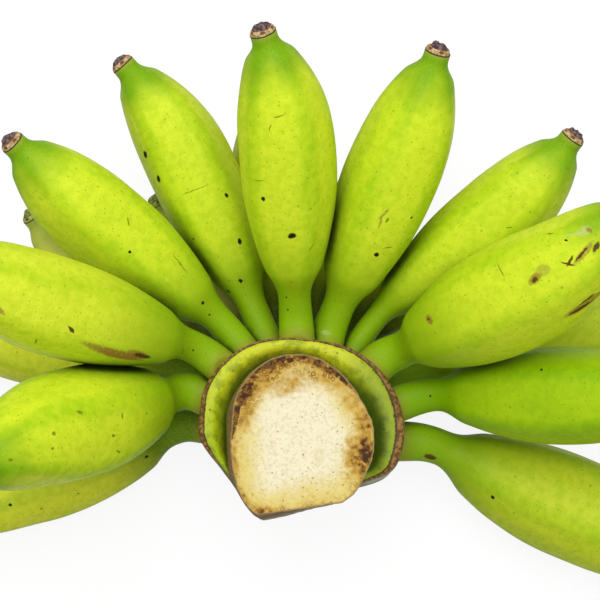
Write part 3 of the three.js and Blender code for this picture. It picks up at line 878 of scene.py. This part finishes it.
def flower_cork(name, cup, stump):
    """Dry cork, dull and rough: a straw-coloured cup, brown in its dents, and the shrivelled stump
    of the flower, a dark grey-brown."""
    material, tree = new_material(name)
    straight = add(tree, "Attribute", out="Vector", attribute_name="straight")
    browned = add(tree, "Attribute", out="Fac", attribute_name="browned")
    grain = add(tree, "TexNoise", [straight, 1 / 1.1, 3])
    light = add(tree, "MapRange", [grain, 0.4, 0.62], interpolation_type="SMOOTHSTEP")
    colour = add(tree, "Mix", [light, paint(cup[0]), paint(cup[1])], data_type="RGBA")
    ragged = add(tree, "Math", [grain, 0.5, browned], operation="MULTIPLY_ADD")
    brown = add(tree, "MapRange", [ragged, 0.4, 0.65], interpolation_type="SMOOTHSTEP")
    colour = add(tree, "Mix", [brown, colour, paint("#6D472A")], data_type="RGBA")
    dark = add(tree, "MapRange", [ragged, 0.85, 1.2], interpolation_type="SMOOTHSTEP")
    shrivelled = add(tree, "Mix", [light, paint(stump[0]), paint(stump[1])], data_type="RGBA")
    colour = add(tree, "Mix", [dark, colour, shrivelled], data_type="RGBA")
    # The dark line where the peel's edge has dried away from the cork.
    flat = add(tree, "VectorMath", [straight, (1, 1, 0)], operation="MULTIPLY")
    out = add(tree, "VectorMath", [flat], operation="LENGTH")
    line = add(tree, "MapRange", [out, 4.77, 4.88, 0, 0.9], interpolation_type="SMOOTHSTEP")
    colour = add(tree, "Mix", [line, colour, paint("#2B2309")], data_type="RGBA")
    bump = add(tree, "Bump", {"Height": grain, "Strength": 0.6, "Distance": 0.0005})
    cork = {"Base Color": colour, "Roughness": 0.85, "Normal": bump, "IOR": 1.45}
    shader = add(tree, "BsdfPrincipled", {**cork, "Specular IOR Level": 0.2})
    add(tree, "OutputMaterial", [shader])
    return material


# The lower row lay in the shade of the upper one: its flowers fell early and have healed greener.
CORKS = {
    "upper": flower_cork("dried_flower_cork", ("#9D7A4C", "#C7B288"), ("#403233", "#786561")),
    "lower": flower_cork("healed_flower_cork", ("#849337", "#A9B45E"), ("#5F6A2C", "#8F984C")),
}
# The colours of each peel: its body, its ridges, its neck and its stalk. The lower row is duller
# than the upper one, and most of its stalks, seen only down in the gaps, are painted nearly black
# as painted shade. Some bananas are deeper, yellower, paler or brighter than their row.
UPPER_SHADE = ("#CDDD29", "#9BC00A", "#639600", "#7FA607")
LOWER_SHADE = ("#BDC91C", "#93AB10", "#5F8804", "#273B04")
DEEPER_SHADE = ("#9FBF09", "#7DA803", "#689603", "#75A100")
YELLOWER_SHADE = ("#D8E433", "#ABC913", "#6F9B06", "#7DA407")
PALER_SHADE = ("#D9DF33", "#ADC227", "#789A10", "#557807")
FADED_SHADE = ("#D4D65E", "#B6BF48", "#9FAB41", "#30470A")
BRIGHTER_SHADE = ("#BBC927", "#8FB10E", "#759F07", "#759B04")
SHADES = {"upper": UPPER_SHADE, "lower": LOWER_SHADE}
SHADES.update({"upper_banana_9": DEEPER_SHADE, "upper_banana_2": YELLOWER_SHADE})
SHADES.update({f"lower_banana_{number}": PALER_SHADE for number in (1, 2)})
SHADES.update({f"lower_banana_{number}": FADED_SHADE for number in (3, 4)})
SHADES.update({f"lower_banana_{number}": BRIGHTER_SHADE for number in (8, 9)})

# The share of its length by which a banana has lost its stalk's green, and those that keep it longer.
USUAL_GREEN_TO = 0.46
GREEN_TO = {"upper_banana_1": 0.6, "upper_banana_2": 0.68, "upper_banana_3": 0.52}
GREEN_TO["upper_banana_8"] = 0.62

bananas = {}
for row, row_sizes in (("upper", UPPER_ROW), ("lower", LOWER_ROW)):
    for number, sizes in enumerate(row_sizes, 1):
        node = f"{row}_banana_{number}"
        seed = number + (10 if row == "lower" else 0)
        bananas[node] = grow_banana(f"{node}_fruit", sizes, seed, row == "lower")
        look = (MARKS.get(node, []), bananas[node][1], SHADES.get(node, SHADES[row]))
        peel = banana_peel(f"unripe_peel_{row}_{number}", seed, *look, GREEN_TO.get(node, USUAL_GREEN_TO))
        banana = bananas[node][0]
        banana.data.materials.append(peel)
        banana.data.materials.append(CORKS[row])
        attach(banana, "root")
        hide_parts(node)

# How far each point of a peel is from the nearest other banana, in millimetres. The peel is
# painted with it: a deeper green near a neighbour as painted shade, and nearly black down where the
# two meet as a painted shadow. Only bananas whose middle lines pass this near count, and every
# fifth ring of a neighbour is enough.
FURTHEST = 60
LINE_STRIDE = 5
OPEN_SPACE = 99.0
for node, (banana, _, own_line, _) in bananas.items():
    points = np.array([point.co for point in banana.data.vertices]) / MM
    room = np.full(len(points), OPEN_SPACE)
    for neighbour, (_, _, line, radius) in bananas.items():
        apart = np.linalg.norm(own_line[:, None] - line[::LINE_STRIDE], axis=2).min()
        if neighbour == node or apart > FURTHEST:
            continue
        for middle, reach in zip(line[::LINE_STRIDE], radius[::LINE_STRIDE]):
            room = np.minimum(room, np.sqrt(((points - middle) ** 2).sum(1)) - reach)
    tell(banana, "room", room)

# ---------------------------------------------------------------------------------------------
# The table, the light and the camera: a plain white surface, a soft sky all round, and one big
# soft lamp nearly overhead, with the camera looking down on the cut stalk and the fan of fruit.

TABLE_HALF = 3.0
table_mesh = bpy.data.meshes.new("table")
corners = [(-TABLE_HALF, -TABLE_HALF, 0), (TABLE_HALF, -TABLE_HALF, 0)]
corners += [(TABLE_HALF, TABLE_HALF, 0), (-TABLE_HALF, TABLE_HALF, 0)]
table_mesh.from_pydata(corners, [], [(0, 1, 2, 3)])
table = bpy.data.objects.new("table", table_mesh)
bpy.context.scene.collection.objects.link(table)


def white_board():
    """Matt board: white to the eye, with a light soft shadow, but throwing back only grey light."""
    material, tree = new_material("matt_white_board")
    camera_ray = add(tree, "LightPath", out="Is Camera Ray")
    path = camera_ray.node.outputs
    seen = add(tree, "Math", [camera_ray, path["Is Glossy Ray"]], operation="MAXIMUM")
    seen = add(tree, "Math", [seen, path["Is Transmission Ray"]], operation="MAXIMUM")
    colour = add(tree, "Mix", [seen, paint("#626262"), paint("#FEFEFE")], data_type="RGBA")
    board = add(tree, "BsdfDiffuse", {"Color": colour})
    glow = add(tree, "Emission", {"Color": paint("#FFFFFF"), "Strength": 1})
    lit = add(tree, "Math", [seen, 0.88], operation="MULTIPLY")
    shader = add(tree, "MixShader", [lit, board, glow])
    add(tree, "OutputMaterial", [shader])
    return material


table.data.materials.append(white_board())

sky = bpy.data.worlds.new("soft_sky")
sky.use_nodes = True
sky.node_tree.nodes.clear()
SKY_LEVEL = 0.77
seen = add(sky.node_tree, "LightPath", out="Is Camera Ray")
level = add(sky.node_tree, "MapRange", [seen, 0, 1, SKY_LEVEL, 1])
air = add(sky.node_tree, "Background", {"Color": paint("#FFFFFF"), "Strength": level})
add(sky.node_tree, "OutputWorld", [air])
bpy.context.scene.world = sky

# The lamp's width and place in metres, and its power in watts.
LAMP_WIDTH = 1.1
LAMP_PLACE = (-0.05, 0.35, 1.25)
LAMP_POWER = 10.6
lamp_light = bpy.data.lights.new("soft_lamp", "AREA")
lamp_light.shape = "DISK"
lamp_light.size = LAMP_WIDTH
lamp_light.energy = LAMP_POWER
lamp = bpy.data.objects.new("soft_lamp", lamp_light)
lamp.location = LAMP_PLACE
lamp.rotation_euler = lamp.location.to_track_quat("Z", "Y").to_euler()
bpy.context.scene.collection.objects.link(lamp)

# The camera stands about 590 mm above the table and looks down at 79 degrees.
CAMERA_X = 1.08
CAMERA_Y = -96.91
CAMERA_HEIGHT = 592.71
CAMERA_TILT = 11
CAMERA_ANGLE = 25
eye = bpy.data.cameras.new("camera")
eye.sensor_fit = "HORIZONTAL"
eye.angle = math.radians(CAMERA_ANGLE)
camera = bpy.data.objects.new("camera", eye)
camera.location = Vector((CAMERA_X, CAMERA_Y, CAMERA_HEIGHT)) * MM
camera.rotation_euler = (math.radians(CAMERA_TILT), 0, 0)
bpy.context.scene.collection.objects.link(camera)
bpy.context.scene.camera = camera
bpy.context.scene.view_settings.view_transform = "Standard"
